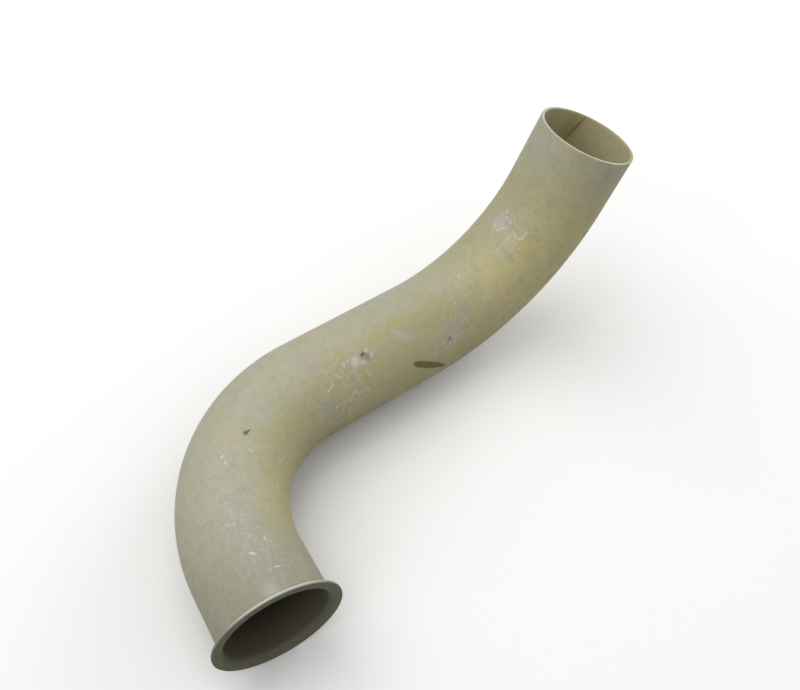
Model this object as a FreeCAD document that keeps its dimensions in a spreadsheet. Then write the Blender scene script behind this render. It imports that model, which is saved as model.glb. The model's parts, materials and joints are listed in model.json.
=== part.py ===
"""Intake tube: one piece of thin aluminium tube with two bends and a formed lip.

A side bend turns the lipped leg out of the straight run, and a rising bend in another plane turns the
plain hose end up. The tube lies as it comes to rest, on the run's underside and the lip's rim.
In the body's own frame the run goes along +X and the side bend is in the XY plane.
Lengths are in millimetres and angles in degrees.
"""
import FreeCAD
import Part
import Sketcher

import math
import os

from FreeCAD import Placement, Rotation, Vector

doc = FreeCAD.newDocument("intake_tube")

# Driving dimensions
SIZES = {
    "tube_diameter": 50.8,      # outside, a two inch tube
    "wall": 1.5,
    "run_length": 70.0,         # straight between the two bends
    "side_bend_radius": 74.0,   # bend radii are to the centreline
    "side_bend_angle": 82.7,
    "lip_leg_length": 30.0,     # from the side bend to the face of the lip
    "rise_bend_radius": 90.0,
    "rise_bend_angle": 69.4,
    "bend_plane_angle": 87.3,   # between the planes of the two bends
    "plain_end_length": 33.5,   # straight hose end after the rising bend
    "lip_width": 4.2,           # how far the lip stands out from the tube
    "lip_corner_radius": 1.6,   # outside corner where the wall turns out into the lip
    "lip_edge_break": 0.4,
    "cut_edge_break": 0.25,     # sawn end with its burr taken off
}
sheet = doc.addObject("Spreadsheet::Sheet", "Sizes")
for row, (alias, value) in enumerate(SIZES.items(), start=1):
    sheet.set(f"A{row}", alias.replace("_", " "))
    sheet.set(f"B{row}", str(value))
    sheet.setAlias(f"B{row}", alias)
doc.recompute()

body = doc.addObject("PartDesign::Body", "intake_tube")
body.Label = "intake_tube"
planes = {feature.Role: feature for feature in body.Origin.OriginFeatures}
X_AXIS = Vector(1, 0, 0)
Z_AXIS = Vector(0, 0, 1)
SKETCH_ORIGIN = (-1, 1)
HORIZONTAL_AXIS = -1
START, END, CENTRE = 1, 2, 3


def new_sketch(name, plane):
    sketch = body.newObject("Sketcher::SketchObject", name)
    sketch.AttachmentSupport = [(planes[plane], "")]
    sketch.MapMode = "FlatFace"
    return sketch


def fix(sketch, *constraint):
    return sketch.addConstraint(Sketcher.Constraint(*constraint))


def dimension(sketch, expression, *constraint):
    """Adds a dimension that follows the sheet."""
    sketch.setExpression(f"Constraints[{fix(sketch, *constraint)}]", expression)


def sweep(name, centreline):
    """Sweeps the tube's ring section along a centreline that starts at the section."""
    pipe = body.newObject("PartDesign::AdditivePipe", name)
    pipe.Profile = section
    pipe.Spine = centreline


# Ring section of the tube, where the run meets the side bend
OUTER_RADIUS = SIZES["tube_diameter"] / 2
BORE_RADIUS = OUTER_RADIUS - SIZES["wall"]
section = new_sketch("tube_section", "YZ_Plane")
for radius, diameter in (
    (OUTER_RADIUS, "Sizes.tube_diameter"),
    (BORE_RADIUS, "Sizes.tube_diameter - 2 * Sizes.wall"),
):
    circle = section.addGeometry(Part.Circle(Vector(), Z_AXIS, radius))
    fix(section, "Coincident", circle, CENTRE, *SKETCH_ORIGIN)
    dimension(section, diameter, "Diameter", circle, 2 * radius)

# Centreline of the run, the rising bend and the plain end, in a plane turned about the run
rise = new_sketch("rise_centreline", "XZ_Plane")
rise.AttachmentOffset = Placement(Vector(), Rotation(X_AXIS, 90 - SIZES["bend_plane_angle"]))
rise.setExpression("AttachmentOffset.Rotation.Angle", "90 - Sizes.bend_plane_angle")
RISE_RADIUS = SIZES["rise_bend_radius"]
RISE_ANGLE = math.radians(SIZES["rise_bend_angle"])
bend_start = Vector(SIZES["run_length"], 0, 0)
bend_centre = bend_start + Vector(0, RISE_RADIUS, 0)
bend_end = bend_centre + RISE_RADIUS * Vector(math.sin(RISE_ANGLE), -math.cos(RISE_ANGLE), 0)
tube_end = bend_end + SIZES["plain_end_length"] * Vector(math.cos(RISE_ANGLE), math.sin(RISE_ANGLE), 0)
rise_circle = Part.Circle(bend_centre, Z_AXIS, RISE_RADIUS)
run_line = rise.addGeometry(Part.LineSegment(Vector(), bend_start))
rise_arc = rise.addGeometry(Part.ArcOfCircle(rise_circle, -math.pi / 2, RISE_ANGLE - math.pi / 2))
end_line = rise.addGeometry(Part.LineSegment(bend_end, tube_end))
fix(rise, "Coincident", run_line, START, *SKETCH_ORIGIN)
fix(rise, "Horizontal", run_line)
fix(rise, "Tangent", run_line, END, rise_arc, START)
fix(rise, "Tangent", rise_arc, END, end_line, START)
dimension(rise, "Sizes.run_length", "Distance", run_line, SIZES["run_length"])
dimension(rise, "Sizes.rise_bend_radius", "Radius", rise_arc, RISE_RADIUS)
dimension(rise, "Sizes.rise_bend_angle", "Angle", run_line, START, end_line, START, RISE_ANGLE)
dimension(rise, "Sizes.plain_end_length", "Distance", end_line, SIZES["plain_end_length"])
sweep("run_and_rise", rise)

# Centreline of the side bend and the straight of the lipped leg, back from the start of the run
STRAIGHT_LEG = "(Sizes.lip_leg_length - Sizes.lip_corner_radius - Sizes.wall)"
SIDE_RADIUS = SIZES["side_bend_radius"]
SIDE_ANGLE = math.radians(SIZES["side_bend_angle"])
side = new_sketch("side_centreline", "XY_Plane")
straight_leg = SIZES["lip_leg_length"] - SIZES["lip_corner_radius"] - SIZES["wall"]
side_centre = Vector(0, -SIDE_RADIUS, 0)
leg_start = side_centre + SIDE_RADIUS * Vector(-math.sin(SIDE_ANGLE), math.cos(SIDE_ANGLE), 0)
leg_end = leg_start - straight_leg * Vector(math.cos(SIDE_ANGLE), math.sin(SIDE_ANGLE), 0)
side_circle = Part.Circle(side_centre, Z_AXIS, SIDE_RADIUS)
side_arc = side.addGeometry(Part.ArcOfCircle(side_circle, math.pi / 2, math.pi / 2 + SIDE_ANGLE))
leg_line = side.addGeometry(Part.LineSegment(leg_end, leg_start))
fix(side, "Coincident", side_arc, START, *SKETCH_ORIGIN)
fix(side, "Vertical", side_arc, CENTRE, *SKETCH_ORIGIN)
fix(side, "Tangent", side_arc, END, leg_line, END)
dimension(side, "Sizes.side_bend_radius", "Radius", side_arc, SIDE_RADIUS)
dimension(side, "Sizes.side_bend_angle", "Angle", HORIZONTAL_AXIS, START, leg_line, START, SIDE_ANGLE)
dimension(side, STRAIGHT_LEG, "Distance", leg_line, straight_leg)
sweep("side_bend_and_leg", side)

# The lip: the wall turned outward round a small corner, its profile spun about the line of the leg.
# The sketch's Y axis runs out of the mouth from the end of the straight leg.
lip = new_sketch("lip_profile", "XY_Plane")
lip.AttachmentOffset = Placement(leg_end, Rotation(Z_AXIS, SIZES["side_bend_angle"] + 90))
lip.setExpression(
    "AttachmentOffset.Base.x",
    "-Sizes.side_bend_radius * sin(Sizes.side_bend_angle)"
    f" - {STRAIGHT_LEG} * cos(Sizes.side_bend_angle)",
)
lip.setExpression(
    "AttachmentOffset.Base.y",
    "-Sizes.side_bend_radius * (1 - cos(Sizes.side_bend_angle))"
    f" - {STRAIGHT_LEG} * sin(Sizes.side_bend_angle)",
)
lip.setExpression("AttachmentOffset.Rotation.Angle", "Sizes.side_bend_angle + 90")
LIP_RADIUS = OUTER_RADIUS + SIZES["lip_width"]
OUTER_TURN = SIZES["lip_corner_radius"]
INNER_TURN = OUTER_TURN + SIZES["wall"]
corner = Vector(OUTER_RADIUS + OUTER_TURN, 0, 0)
back_edge = Vector(LIP_RADIUS, OUTER_TURN, 0)
face_edge = Vector(LIP_RADIUS, INNER_TURN, 0)
root = lip.addGeometry(Part.LineSegment(Vector(BORE_RADIUS, 0, 0), Vector(OUTER_RADIUS, 0, 0)))
outer_turn, inner_turn = (
    lip.addGeometry(Part.ArcOfCircle(Part.Circle(corner, Z_AXIS, radius), math.pi / 2, math.pi))
    for radius in (OUTER_TURN, INNER_TURN)
)
back = lip.addGeometry(Part.LineSegment(corner + Vector(0, OUTER_TURN, 0), back_edge))
rim = lip.addGeometry(Part.LineSegment(back_edge, face_edge))
face = lip.addGeometry(Part.LineSegment(face_edge, corner + Vector(0, INNER_TURN, 0)))
fix(lip, "PointOnObject", root, START, HORIZONTAL_AXIS)
fix(lip, "PointOnObject", root, END, HORIZONTAL_AXIS)
fix(lip, "PointOnObject", outer_turn, CENTRE, HORIZONTAL_AXIS)
fix(lip, "Coincident", outer_turn, CENTRE, inner_turn, CENTRE)
fix(lip, "Coincident", outer_turn, END, root, END)
fix(lip, "Coincident", inner_turn, END, root, START)
fix(lip, "Tangent", outer_turn, START, back, START)
fix(lip, "Tangent", inner_turn, START, face, END)
fix(lip, "Coincident", back, END, rim, START)
fix(lip, "Coincident", rim, END, face, START)
fix(lip, "Vertical", rim)
fix(lip, "Horizontal", face)
fix(lip, "Horizontal", back)
dimension(lip, "Sizes.wall", "Distance", root, SIZES["wall"])
dimension(lip, "Sizes.lip_corner_radius", "Radius", outer_turn, OUTER_TURN)
dimension(lip, "Sizes.tube_diameter / 2", "DistanceX", *SKETCH_ORIGIN, root, END, OUTER_RADIUS)
lip_reach = "Sizes.tube_diameter / 2 + Sizes.lip_width"
dimension(lip, lip_reach, "DistanceX", *SKETCH_ORIGIN, rim, START, LIP_RADIUS)
formed_lip = body.newObject("PartDesign::Revolution", "formed_lip")
formed_lip.Profile = lip
formed_lip.ReferenceAxis = (lip, ["V_Axis"])
formed_lip.Angle = 360
doc.recompute()


def ring_edge(shape, centre, radius):
    """Names the circular edge of a shape that has this centre and radius."""
    for number, edge in enumerate(shape.Edges, start=1):
        ring = edge.Curve
        if isinstance(ring, Part.Circle) and math.isclose(ring.Radius, radius, abs_tol=SAME_PLACE):
            if ring.Center.isEqual(centre, SAME_PLACE):
                return f"Edge{number}"
    raise RuntimeError(f"no ring edge of radius {radius}")


def break_edges(name, base, rings, expression):
    """Takes the sharpness off ring edges of a feature, each given as its centre and radius."""
    chamfer = body.newObject("PartDesign::Chamfer", name)
    chamfer.Base = (base, [ring_edge(base.Shape, centre, radius) for centre, radius in rings])
    chamfer.setExpression("Size", expression)
    doc.recompute()
    return chamfer


# Broken edges: both sides of the lip's rim, and both sides of the sawn mouth of the plain end
SAME_PLACE = 1e-4
lip_rings = [
    (lip.Placement.multVec(Vector(0, edge.y, 0)), LIP_RADIUS)
    for edge in (back_edge, face_edge)
]
mouth = rise.Placement.multVec(tube_end)
mouth_rings = [(mouth, OUTER_RADIUS), (mouth, BORE_RADIUS)]
broken_lip = break_edges("broken_lip_rim", formed_lip, lip_rings, "Sizes.lip_edge_break")
break_edges("broken_mouth", broken_lip, mouth_rings, "Sizes.cut_edge_break")

# At rest the run lies along the floor and the tube rolls about it until the back edge of the lip, which
# is wider than the tube, meets the floor too. That height gives a square equation in the roll's sine.
TUBE = "(Sizes.tube_diameter / 2)"
LIP = "(Sizes.tube_diameter / 2 + Sizes.lip_width)"
REACH = (
    "(Sizes.side_bend_radius * (1 - cos(Sizes.side_bend_angle))"
    " + (Sizes.lip_leg_length - Sizes.wall) * sin(Sizes.side_bend_angle))"
)
SPREAD = f"({REACH} ^ 2 + ({LIP} * sin(Sizes.side_bend_angle)) ^ 2)"
ROOT = f"sqrt(({TUBE} * {REACH}) ^ 2 + {SPREAD} * ({LIP} ^ 2 - {TUBE} ^ 2))"
body.Placement = Placement(Vector(), Rotation(-X_AXIS, 1))
body.setExpression("Placement.Rotation.Angle", f"asin(({ROOT} - {TUBE} * {REACH}) / {SPREAD})")
doc.recompute()

# The origin is on the floor, under the middle of the tube's box
box = body.Shape.optimalBoundingBox(False)
body.Placement = Placement(Vector(-box.Center.x, -box.Center.y, -box.ZMin), body.Placement.Rotation)
doc.recompute()

for item in doc.Objects:
    if "Invalid" in item.State or "Error" in item.State:
        raise RuntimeError(f"{item.Label} failed: {item.State}")
if body.Shape.isNull() or not body.Shape.isValid() or len(body.Shape.Solids) != 1:
    raise RuntimeError("the tube is not one valid solid")

os.makedirs("parts", exist_ok=True)
body.Shape.exportStep(f"parts/{body.Label}.step")
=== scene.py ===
import json
import math

import bmesh
import bpy
from mathutils import Matrix, Vector


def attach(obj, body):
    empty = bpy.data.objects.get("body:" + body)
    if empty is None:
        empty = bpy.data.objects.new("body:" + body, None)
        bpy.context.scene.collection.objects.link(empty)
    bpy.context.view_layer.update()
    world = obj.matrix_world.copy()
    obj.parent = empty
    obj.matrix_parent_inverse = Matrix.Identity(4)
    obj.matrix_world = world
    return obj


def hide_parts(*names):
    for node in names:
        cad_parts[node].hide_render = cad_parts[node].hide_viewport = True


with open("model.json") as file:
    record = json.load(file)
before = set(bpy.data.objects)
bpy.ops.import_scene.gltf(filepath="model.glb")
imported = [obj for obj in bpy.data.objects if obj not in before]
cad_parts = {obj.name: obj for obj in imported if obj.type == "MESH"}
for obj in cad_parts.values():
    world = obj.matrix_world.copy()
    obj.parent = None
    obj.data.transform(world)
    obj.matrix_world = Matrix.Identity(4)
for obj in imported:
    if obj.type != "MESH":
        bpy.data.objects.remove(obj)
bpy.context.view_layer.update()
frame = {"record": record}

# The tube: one length of drawn aluminium tube, sawn square at the plain end and bent twice.
# At its other end the wall is turned outward round a small corner into a flat lip.
# Its skin is grown ring by ring from the sawn mouth to the rim of the lip, then gets its wall.
MM = 0.001
WALL = 1.5 * MM
RISE_RADIUS = 90.0 * MM
RUN_LENGTH = 70.0 * MM
SIDE_RADIUS = 74.0 * MM
LIP_LEG = 30.0 * MM
LIP_CORNER = 1.6 * MM
LIP_WIDTH = 4.2 * MM
LIP_EDGE_ROUND = 0.45 * MM
SAWN_EDGE_ROUND = 0.25 * MM
RING_POINTS = 128
RING_SPACING = 1.5 * MM
CORNER_STEPS = 6
LIP_STEPS = 3
ROUND_STEPS = 3
WELD = 0.01 * MM
SHARP = math.radians(60)
FACING = 0.9

mounts = {mount["name"]: mount for mount in frame["record"]["mounts"]}
plain_end = mounts["plain_end"]
tube_radius = plain_end["dims"]["r_mm"] * MM
plain_wall = plain_end["dims"]["length_mm"] * MM
out_of_plain = Vector(plain_end["axis"]).normalized()
out_of_lip = Vector(mounts["lip_face"]["axis"]).normalized()
back_along_run = Vector((-1, 0, 0))
mouth = Vector(plain_end["pos_m"]) + out_of_plain * (plain_wall / 2 + SAWN_EDGE_ROUND)

skin = bmesh.new()
along = skin.verts.layers.float.new("along")
around = skin.verts.layers.float.new("around")
bore = skin.verts.layers.float.new("bore")
bare = skin.verts.layers.float.new("bare")
face_out = out_of_plain.to_track_quat("Z", "Y").to_matrix().to_4x4()
to_mouth = Matrix.Translation(mouth) @ face_out
bmesh.ops.create_circle(skin, segments=RING_POINTS, radius=tube_radius, matrix=to_mouth)
for vert in skin.verts:
    spoke = to_mouth.inverted() @ vert.co
    vert[around] = math.atan2(-spoke.x, spoke.y)
ring = list(skin.edges)


def grow(ring, move, distance):
    """Draws a ring out by one move and returns the new ring."""
    grown = bmesh.ops.extrude_edge_only(skin, edges=ring)["geom"]
    verts = [item for item in grown if isinstance(item, bmesh.types.BMVert)]
    bmesh.ops.transform(skin, matrix=move, verts=verts)
    for vert in verts:
        vert[along] += distance
    return [item for item in grown if isinstance(item, bmesh.types.BMEdge)]


def straight(ring, centre, heading, length):
    """Carries a ring straight on and returns it with its new centre."""
    steps = round(length / RING_SPACING)
    for _ in range(steps):
        ring = grow(ring, Matrix.Translation(heading * length / steps), length / steps)
    return ring, centre + heading * length


def bend(ring, centre, heading, new_heading, radius):
    """Carries a ring round a bend to a new heading and returns it with its new centre."""
    turn = heading.angle(new_heading)
    inward = (new_heading - heading * math.cos(turn)).normalized()
    pivot = Matrix.Translation(centre + inward * radius)
    steps = round(radius * turn / RING_SPACING)
    move = pivot @ Matrix.Rotation(turn / steps, 4, heading.cross(inward)) @ pivot.inverted()
    for _ in range(steps):
        ring = grow(ring, move, radius * turn / steps)
        centre = move @ centre
    return ring, centre


def flare(ring, centre, heading, radius, new_radius, rise):
    """Widens a ring by one step of the lip and returns it with its new centre."""
    hub = Matrix.Translation(centre)
    widen = hub @ Matrix.Scale(new_radius / radius, 4) @ hub.inverted()
    move = Matrix.Translation(heading * rise) @ widen
    ring = grow(ring, move, math.hypot(new_radius - radius, rise))
    return ring, centre + heading * rise


ring, centre = straight(ring, mouth, -out_of_plain, plain_wall + SAWN_EDGE_ROUND)
ring, centre = bend(ring, centre, -out_of_plain, back_along_run, RISE_RADIUS)
ring, centre = straight(ring, centre, back_along_run, RUN_LENGTH)
ring, centre = bend(ring, centre, back_along_run, out_of_lip, SIDE_RADIUS)
ring, centre = straight(ring, centre, out_of_lip, LIP_LEG - LIP_CORNER - WALL)
turns = [math.radians(90 * step / CORNER_STEPS) for step in range(CORNER_STEPS + 1)]
profile = [
    (tube_radius + LIP_CORNER * (1 - math.cos(turn)), LIP_CORNER * math.sin(turn)) for turn in turns
]
lip_flat = LIP_WIDTH - LIP_CORNER
profile += [
    (tube_radius + LIP_CORNER + lip_flat * step / LIP_STEPS, LIP_CORNER)
    for step in range(1, LIP_STEPS + 1)
]
for (radius, height), (new_radius, new_height) in zip(profile, profile[1:]):
    ring, centre = flare(ring, centre, out_of_lip, radius, new_radius, new_height - height)

bmesh.ops.remove_doubles(skin, verts=skin.verts, dist=WELD)
bmesh.ops.recalc_face_normals(skin, faces=skin.faces)
walled = bmesh.ops.solidify(skin, geom=list(skin.faces), thickness=WALL)["geom"]
for vert in (item for item in walled if isinstance(item, bmesh.types.BMVert)):
    vert[bore] = 1.0
bmesh.ops.recalc_face_normals(skin, faces=skin.faces)

near = 2 * tube_radius
sharp = [edge for edge in skin.edges if edge.calc_face_angle(0.0) > SHARP]
lip_edges = [edge for edge in sharp if (edge.verts[0].co - centre).length < near]
sawn_edges = [edge for edge in sharp if (edge.verts[0].co - centre).length > near]
for edges, offset in ((lip_edges, LIP_EDGE_ROUND), (sawn_edges, SAWN_EDGE_ROUND)):
    bmesh.ops.bevel(
        skin, geom=edges, offset=offset, offset_type="OFFSET", segments=ROUND_STEPS,
        profile=0.5, affect="EDGES", material=-1,
    )
for face in skin.faces:
    face.smooth = True
    at_mouth = (face.calc_center_median() - mouth).length < near
    if at_mouth and face.normal.dot(out_of_plain) > FACING:
        for vert in face.verts:
            vert[bare] = 1.0

laid_out = skin.loops.layers.uv.new("laid_out")
unbent = skin.verts.layers.float_vector.new("unbent")
for vert in skin.verts:
    radius = tube_radius - WALL * vert[bore]
    vert[unbent] = (vert[along], radius * math.cos(vert[around]), radius * math.sin(vert[around]))
for face in skin.faces:
    angles = [loop.vert[around] for loop in face.loops]
    if max(angles) - min(angles) > math.pi:
        angles = [angle % math.tau for angle in angles]
    for loop, angle in zip(face.loops, angles):
        loop[laid_out].uv = (loop.vert[along], angle * tube_radius)

mesh = bpy.data.meshes.new("intake_tube_skin")
skin.to_mesh(mesh)
skin.free()
tube = bpy.data.objects.new("intake_tube_skin", mesh)
bpy.context.collection.objects.link(tube)


def colour(code):
    """Turns an sRGB colour such as #AEA882 into linear values."""
    parts = [int(code[place:place + 2], 16) / 255 for place in (1, 3, 5)]
    linear = [
        part / 12.92 if part <= 0.04045 else ((part + 0.055) / 1.055) ** 2.4 for part in parts
    ]
    return linear + [1.0]


# Chromate-conversion-coated aluminium: a thin, uneven yellow-olive film on satin metal.
# The eye sees soft khaki mottling, a dull broad sheen without sharp reflections,
# and pale metal where the film is rubbed off.
coat = bpy.data.materials.new("chromate_coated_aluminium")
coat.use_nodes = True
tree = coat.node_tree


def node(kind, *values, **named):
    """Adds a node and returns its outputs.

    Values fill its sockets in order, and a named value fills a setting or socket of that name.
    """
    made = tree.nodes.new("ShaderNode" + kind)
    filled = dict(enumerate(values))
    for name, value in named.items():
        if hasattr(made, name):
            setattr(made, name, value)
        else:
            filled[name.replace("_", " ")] = value
    for place, value in filled.items():
        if isinstance(value, bpy.types.NodeSocket):
            tree.links.new(value, made.inputs[place])
        else:
            made.inputs[place].default_value = value
    return made.outputs


on_tube = node("Attribute", attribute_name="unbent")["Vector"]
PATTERN_SHIFT = (0.31, 0.17, 0.23)
elsewhere = node("VectorMath", on_tube, PATTERN_SHIFT)[0]
from_mouth, to_top, to_front = node("SeparateXYZ", on_tube)
in_bore = node("Attribute", attribute_name="bore")["Fac"]
on_saw_cut = node("Attribute", attribute_name="bare")["Fac"]
SOFTLY = {"interpolation_type": "SMOOTHSTEP"}

# The film is thick and yellow along the front of the run and the bends and round the plain end.
# The front of the rise is painted paler, as painted light. The film is thin and grey along the top,
# on the outside of the side bend and in a band at the sawn mouth. Towards the lip it turns greyer
# and is painted darker there, as painted shade.
mottle = node("TexNoise", Vector=on_tube, Scale=1 / (16 * MM), Detail=5.0, Roughness=0.6)["Fac"]
uneven = node("Math", mottle, 14 * MM, -7 * MM, operation="MULTIPLY_ADD")[0]
edge = node("MapRange", from_mouth, 200 * MM, 225 * MM, 4 * MM, 10 * MM, **SOFTLY)[0]
past_edge = node("Math", to_front, uneven)[0]
past_edge = node("Math", past_edge, edge, operation="SUBTRACT")[0]
on_front = node("MapRange", past_edge, -7 * MM, 8 * MM, 0.05, 0.75, **SOFTLY)[0]
off_lip = node("MapRange", from_mouth, 345 * MM, 300 * MM, 0.3, 1.0, **SOFTLY)[0]
near_plain = node("MapRange", from_mouth, 150 * MM, 95 * MM, 0.0, 0.55, **SOFTLY)[0]
off_mouth = node("MapRange", from_mouth, 3 * MM, 40 * MM, 0.15, 1.0, **SOFTLY)[0]
thick = node("Math", on_front, off_lip, operation="MULTIPLY")[0]
thick = node("Math", thick, near_plain, operation="MAXIMUM")[0]
thick = node("Math", thick, off_mouth, operation="MULTIPLY")[0]
patchy = node("MapRange", mottle, 0.25, 0.75, -0.32, 0.32)[0]
film = node("Math", thick, patchy, use_clamp=True)[0]
# Painted light: the front of the rise is painted paler.
on_rise = node("MapRange", from_mouth, 130 * MM, 85 * MM, 0.0, 0.45, **SOFTLY)[0]
at_front = node("MapRange", to_front, -8 * MM, 14 * MM, **SOFTLY)[0]
rise_painted_light = node("Math", on_rise, at_front, operation="MULTIPLY")[0]
rise_painted_light = node("Math", rise_painted_light, off_mouth, operation="MULTIPLY")[0]
# Painted shade: towards the lip the film turns greyer and is painted darker.
greyer_and_shade_to_lip = node("MapRange", from_mouth, 290 * MM, 348 * MM, 0.0, 0.75, **SOFTLY)[0]
pink_patches = node(
    "TexNoise", Vector=on_tube, Scale=1 / (12 * MM), Detail=4.0, Roughness=0.6
)["Color"]
pinkish = node("MapRange", pink_patches, 0.5, 0.72, 0.0, 0.5, **SOFTLY)[0]
green_patches = node(
    "TexNoise", Vector=elsewhere, Scale=1 / (9 * MM), Detail=4.0, Roughness=0.6
)["Fac"]
greenish = node("MapRange", green_patches, 0.45, 0.75, 0.0, 0.55, **SOFTLY)[0]
dull_patches = node(
    "TexNoise", Vector=on_tube, Scale=1 / (4 * MM), Detail=4.0, Roughness=0.7
)["Fac"]
dull = node("MapRange", dull_patches, 0.45, 0.75, 0.0, 0.25, **SOFTLY)[0]
# The grain of the metal is drawn coarser than it is, so that it shows at all.
grains = node("TexNoise", Vector=on_tube, Scale=1 / (0.7 * MM), Detail=2.0)["Fac"]
grain = node("MapRange", grains, 0.45, 0.75, 0.0, 0.25)[0]
flecks = node("MapRange", grains, 0.45, 0.25, 0.0, 0.3)[0]

# Marks lie on the unrolled skin, in millimetres along from the sawn mouth and around from the
# top to the front. The outlines of most of them wander a little.
unrolled = node("UVMap", uv_map="laid_out")["UV"]
wander = node("TexNoise", Vector=on_tube, Scale=1 / (1.6 * MM), Detail=2.0)["Color"]
wander = node("VectorMath", wander, (0.5, 0.5, 0.5), operation="SUBTRACT")[0]
wander = node("VectorMath", wander, Scale=1.2 * MM, operation="SCALE")[0]
wandering = node("VectorMath", unrolled, wander)[0]


def marks(*ovals, soft, strength=1.0, outline=wandering):
    """Lays down ovals, each by its station, girth, length, width and turn in degrees.

    The station is its place along the tube and the girth its place around it.
    """
    total = 0.0
    for station, girth, length, width, turn in ovals:
        oval = node(
            "Mapping", outline, (station * MM, girth * MM, 0), (0, 0, math.radians(turn)),
            (length * MM / 2, width * MM / 2, 1), vector_type="TEXTURE",
        )[0]
        reach = node("VectorMath", oval, operation="LENGTH")["Value"]
        shown = node("MapRange", reach, 1 + soft, 1 - soft, 0.0, strength, **SOFTLY)[0]
        total = node("Math", total, shown, operation="MAXIMUM")[0]
    return total


# Broad places: ochre where the film pooled on the rise, and lilac-grey, chalky or clouded where
# it is rubbed thin.
ochre = marks((65, 16, 15, 10, 45), (90, 21, 22, 13, 80), soft=0.9, strength=0.5)
lilac = marks(
    (60, -4, 17, 11, -45), (123, 16, 14, 9, -80), (137, 24, 22, 9, 20), (164, 12, 9, 5, -58),
    (189, 13, 16, 7, 0), (213, 2, 14, 9, -86), (218, 26, 18, 10, -54), (286, -15, 9, 5, 28),
    (297.5, -12.5, 8, 6, 25), (312, -1, 46, 14, 5), soft=0.9, strength=0.45,
)
rubbed = marks(
    (204, 25, 46, 30, 0), (61, 2, 26, 18, 0), (138, 24, 32, 16, 0), soft=0.85, strength=0.9,
)
half_rubbed = marks((314, 0, 50, 14, 12), (95, 20, 20, 12, 0), soft=0.85, strength=0.6)
rubbed = node("Math", rubbed, half_rubbed, operation="MAXIMUM")[0]
chalk_spots = node(
    "TexNoise", Vector=on_tube, Scale=1 / (2.4 * MM), Detail=4.0, Roughness=0.7
)["Fac"]
chalk = node("MapRange", chalk_spots, 0.48, 0.72, 0.0, 0.6, **SOFTLY)[0]
chalk = node("Math", chalk, rubbed, operation="MULTIPLY")[0]
clouded = marks(
    (62, -3, 10, 7, 35), (65, -6, 8, 4, 32), (164, 12, 9, 4, -58), (344, -1, 7, 6, 0),
    soft=0.8, strength=0.35,
)

# Hairline scratches run three ways, wander and break off, and are thickest where the film is
# rubbed. They are drawn wider than they are, so that they show.
UNRUBBED = 0.15
scratches = 0.0
for direction, spacing in (("DIAGONAL", 7), ("Z", 11), ("X", 16)):
    lines = node(
        "TexWave", Vector=on_tube, Scale=1 / (spacing * MM), Distortion=9.0, Detail=4.0,
        Detail_Scale=1.6, bands_direction=direction,
    )["Fac"]
    lines = node("MapRange", lines, 0.95, 0.995, 0.0, 0.65, **SOFTLY)[0]
    scratches = node("Math", scratches, lines, operation="MAXIMUM")[0]
breaks = node("TexNoise", Vector=elsewhere, Scale=1 / (2.6 * MM), Detail=3.0)["Fac"]
breaks = node("MapRange", breaks, 0.42, 0.62, 0.0, 1.0, **SOFTLY)[0]
scratches = node("Math", scratches, breaks, operation="MULTIPLY")[0]
scratched = node("Math", rubbed, UNRUBBED, operation="MAXIMUM")[0]
hairlines = node("Math", scratched, scratches, operation="MULTIPLY")[0]

# Single marks: a hooked scratch with a scrape beside it on the rise, a knock with pale spots on
# the run, short nicks and streaks on the bend and the leg, dark specks, and one dab of olive
# paint under the run.
hooked_scratch = (
    (62, 7, 2.6, 0.9, 52), (62.6, 8.7, 2.4, 1, -89), (61.8, 10.2, 3, 1.2, -40),
    (59.7, 11.1, 3.4, 1.2, -10), (56.7, 11.2, 4, 1, 4),
)
scrape = ((67, 5.7, 9, 1.7, -4), (75.5, 5.2, 8, 1.4, -2), (64.5, -5.5, 6.5, 1.8, 32))
rise_scuffs = (
    (66.5, -1.8, 2.6, 1.5, -36), (63.5, -0.5, 4, 1, -24), (56, -2, 3, 1, -70),
    (56.3, 0.8, 3.2, 0.9, 63), (53.3, -4, 3.6, 1, -18), (68.8, 11.2, 3, 0.7, -73),
    (67, 13.2, 3, 0.7, -23),
)
knock = (
    (192.8, 12.5, 5, 4, 60), (184.7, 9.9, 2.4, 1.8, 57), (183.3, 13.2, 2.8, 1.8, 59),
    (188.5, 14.5, 4, 2, 0),
)
run_nicks = (
    (192.3, 11.2, 2, 1.5, 60), (196, 10.3, 2.5, 1, 51), (198.6, 11.2, 2.6, 1, 52),
    (210.6, 18.2, 2.6, 1.2, 24), (199.4, 25.7, 2.4, 0.9, 18), (198, 26.5, 2.6, 0.8, -65),
    (124.7, 11.3, 1.4, 0.8, 45), (110, 1.2, 3, 0.6, 41),
)
bend_nicks = ((272.5, 6.8, 2.8, 1, 52), (278, -4.9, 2, 0.9, -55), (281, -3, 2.4, 0.7, 32))
streaks = (
    (269, 22.8, 10, 1, -17), (287, 22.6, 5, 1.1, -4), (204, 33.6, 6, 0.8, 89),
    (104.7, 17.7, 5, 0.7, 35),
)
leg_nicks = ((326, -0.8, 3.2, 0.9, 53), (321.6, 6.8, 2.2, 0.8, -4), (335.5, 5.7, 2, 0.8, 69))
scuffs = marks(*scrape, *streaks, soft=0.7, strength=0.45)
knocked = marks(*knock, soft=0.7, strength=0.65)
nicks = marks(
    *hooked_scratch, *rise_scuffs, *run_nicks, *bend_nicks, *leg_nicks, soft=0.6, strength=0.8,
)
smudge = marks((186.3, 13, 4.2, 3.6, 0), soft=0.7, strength=0.45)
specks = marks(
    (187.5, 10.9, 2.8, 1.5, 18), (264, 2.4, 2.6, 1.8, -20), (262.6, 3.4, 2.2, 0.9, -7),
    (139, 25.6, 2.4, 0.9, 30), (55.7, 17.6, 0.8, 0.7, 0), soft=0.6, strength=0.8,
)
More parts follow.
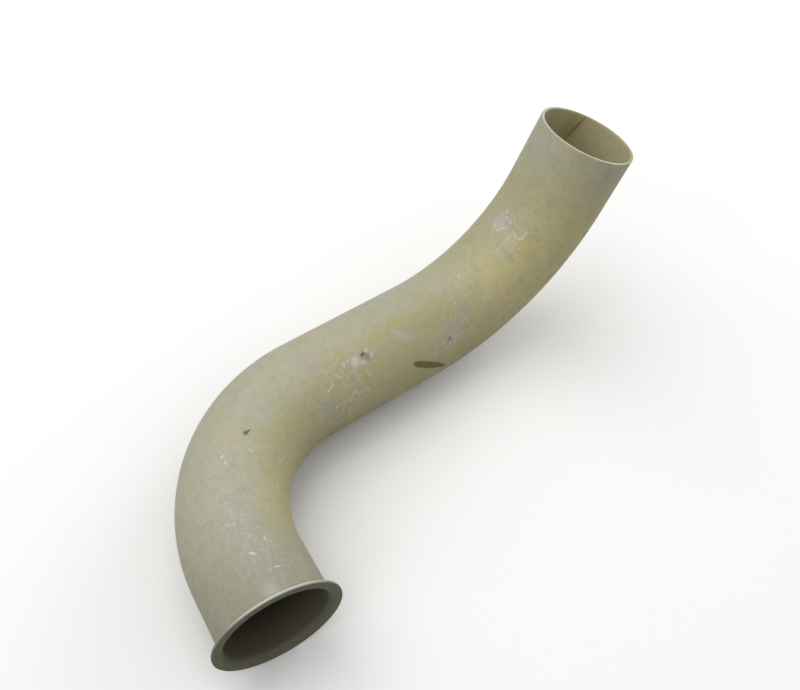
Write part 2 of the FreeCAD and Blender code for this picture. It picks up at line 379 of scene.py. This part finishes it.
dab = marks(
    (159.8, 30.6, 9, 3.7, -32), (155.5, 33.4, 14, 4, -32), (150.5, 36.7, 12, 3.6, -33),
    (146, 40.4, 8, 2, -38), soft=0.15, strength=0.9, outline=unrolled,
)

surface_colour = colour("#B7B49F")
for amount, code in (
    (film, "#B9B07C"),
    (rise_painted_light, "#DCD29A"),
    (ochre, "#CFB876"),
    (pinkish, "#C0AE9A"),
    (greenish, "#A9AF8C"),
    (greyer_and_shade_to_lip, "#959280"),
    (dull, "#9A9780"),
    (grain, "#929078"),
    (flecks, "#C9C7B6"),
    (lilac, "#AEA8A4"),
    (chalk, "#C6C4BB"),
    (clouded, "#CDC8C0"),
    (scuffs, "#CFCBC4"),
    (knocked, "#D6CFCB"),
    (hairlines, "#D2D0C6"),
    (nicks, "#DAD8D0"),
    (smudge, "#716C50"),
    (specks, "#403A20"),
    (dab, "#6B6232"),
):
    surface_colour = node("MixRGB", amount, surface_colour, colour(code))[0]
# The top of the lip's rim is partly worn pale and partly a painted highlight, nearly white.
rim = node("MapRange", from_mouth, 350.2 * MM, 351.0 * MM, 0.0, 0.9, **SOFTLY)[0]
worn_and_highlit_top = node("MapRange", to_top, 14 * MM, 24 * MM, 0.1, 1.0, **SOFTLY)[0]
worn_and_highlit_rim = node("Math", rim, worn_and_highlit_top, operation="MULTIPLY")[0]
surface_colour = node("MixRGB", worn_and_highlit_rim, surface_colour, colour("#F0EEE6"))[0]

# The bore is dirtier: olive at the plain end, with one brown run below its rim. From the side bend
# on it is painted near black, and dark brown behind the lip, as painted shade. The lip's face is
# darker too, but less, most on its upper half. The saw cut is bare, and brightest on the inside of
# the rise.
drip = marks((8, -59, 14, 1.4, 17), soft=0.8, strength=0.7)
drip_stain = marks((9, -56, 18, 9, 10), soft=0.9, strength=0.5)
# Painted shade: deep in the bore near black from the side bend on, dark brown behind the lip.
deep_bore_shade = node("MapRange", from_mouth, 215 * MM, 285 * MM, 0.0, 0.92, **SOFTLY)[0]
lip_bore_shade = node("MapRange", from_mouth, 323 * MM, 344 * MM, 0.0, 0.85, **SOFTLY)[0]
# The lip's face is darker, most on its upper half.
lip_face = node("MapRange", from_mouth, 336 * MM, 349 * MM, 0.0, 0.75, **SOFTLY)[0]
face_top = node("MapRange", to_top, -25 * MM, 0.0, 0.45, 1.0, **SOFTLY)[0]
lip_face = node("Math", lip_face, face_top, operation="MULTIPLY")[0]
bore_colour = colour("#BDB794")
for amount, code in (
    (dull, "#A29A76"),
    (drip_stain, "#9A8140"),
    (drip, "#75592A"),
    (deep_bore_shade, "#24231B"),
    (lip_bore_shade, "#6B634E"),
    (lip_face, "#686B57"),
):
    bore_colour = node("MixRGB", amount, bore_colour, colour(code))[0]
surface_colour = node("MixRGB", in_bore, surface_colour, bore_colour)[0]
cut_clean = node("MapRange", to_top, -20 * MM, 15 * MM, 0.1, 1.0, **SOFTLY)[0]
cut_clean = node("Math", cut_clean, on_saw_cut, operation="MULTIPLY")[0]
surface_colour = node("MixRGB", on_saw_cut, surface_colour, colour("#9C9768"))[0]
surface_colour = node("MixRGB", cut_clean, surface_colour, colour("#C0BAB0"))[0]

# Under the film the sheen is part metal, and bare metal shines more. The grain pits it a little.
bare_metal = node("Math", nicks, cut_clean, operation="MAXIMUM")[0]
metal = node("MapRange", bare_metal, 0.0, 1.0, 0.3, 0.8)[0]
satin = node("MapRange", dull_patches, 0.3, 0.7, 0.66, 0.78)[0]
pitted = node("Bump", Strength=0.1, Distance=0.1 * MM, Height=grains)[0]
shader = tree.nodes["Principled BSDF"]
tree.links.new(surface_colour, shader.inputs["Base Color"])
tree.links.new(metal, shader.inputs["Metallic"])
tree.links.new(satin, shader.inputs["Roughness"])
tree.links.new(pitted, shader.inputs["Normal"])
mesh.materials.append(coat)
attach(tube, "root")
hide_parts("intake_tube")

# Floor: a wide pale studio sheet that the tube lies on. To the camera and in reflections it is
# white with a soft shadow, and it throws only part of its light back up at the tube.
FLOOR_HALF = 3.0
sheet = bmesh.new()
bmesh.ops.create_grid(sheet, x_segments=1, y_segments=1, size=FLOOR_HALF)
floor_mesh = bpy.data.meshes.new("studio_floor")
sheet.to_mesh(floor_mesh)
sheet.free()
floor = bpy.data.objects.new("studio_floor", floor_mesh)
bpy.context.collection.objects.link(floor)
paper = bpy.data.materials.new("pale_paper")
paper.use_nodes = True
tree = paper.node_tree
rays = node("LightPath")
seen = node("Math", rays["Is Camera Ray"], rays["Is Glossy Ray"], operation="MAXIMUM")[0]
seen = node("Math", seen, rays["Is Transmission Ray"], operation="MAXIMUM")[0]
paper_colour = node("MixRGB", seen, colour("#484745"), colour("#FCFCFB"))[0]
paper_shader = tree.nodes["Principled BSDF"]
tree.links.new(paper_colour, paper_shader.inputs["Base Color"])
paper_shader.inputs["Roughness"].default_value = 1.0
paper_shader.inputs["Specular IOR Level"].default_value = 0.0
floor_mesh.materials.append(paper)

# Light: a large soft box overhead and a little behind, and a weaker one at each side,
# in an even pale surround.
SURROUND_STRENGTH = 0.55
SOFT_BOXES = {
    "overhead": ((-0.3, 0.7, 1.4), 1.6, 12.0),
    "left": ((-1.3, -0.1, 0.7), 1.0, 2.5),
    "right": ((1.4, 0.2, 0.5), 1.0, 8.0),
}
for name, (place, size, power) in SOFT_BOXES.items():
    lamp = bpy.data.lights.new(f"soft_box_{name}", "AREA")
    lamp.size = size
    lamp.energy = power
    soft_box = bpy.data.objects.new(f"soft_box_{name}", lamp)
    soft_box.location = place
    soft_box.rotation_euler = (-Vector(place)).to_track_quat("-Z", "Y").to_euler()
    bpy.context.collection.objects.link(soft_box)
world = bpy.data.worlds.new("studio")
bpy.context.scene.world = world
world.use_nodes = True
surround = world.node_tree.nodes["Background"]
surround.inputs["Color"].default_value = colour("#FFFFFF")
surround.inputs["Strength"].default_value = SURROUND_STRENGTH

# Camera: above the bend, looking down along the photo's line, and tipped so that the plain end
# stands higher.
CAMERA_TARGET = Vector((12.47, 30.56, 30.0)) * MM
CAMERA_DISTANCE = 475.5 * MM
CAMERA_AZIMUTH = math.radians(-45.2)
CAMERA_ELEVATION = math.radians(51.94)
CAMERA_ROLL = math.radians(9.46)
lens = bpy.data.cameras.new("camera")
lens.sensor_width = 36.0
lens.lens = 41.68
camera = bpy.data.objects.new("camera", lens)
turned = (
    Matrix.Rotation(CAMERA_AZIMUTH, 4, "Z")
    @ Matrix.Rotation(math.radians(90) - CAMERA_ELEVATION, 4, "X")
    @ Matrix.Rotation(CAMERA_ROLL, 4, "Z")
)
stand_back = Matrix.Translation((0, 0, CAMERA_DISTANCE))
camera.matrix_world = Matrix.Translation(CAMERA_TARGET) @ turned @ stand_back
bpy.context.collection.objects.link(camera)
bpy.context.scene.camera = camera
bpy.context.scene.view_settings.view_transform = "Standard"
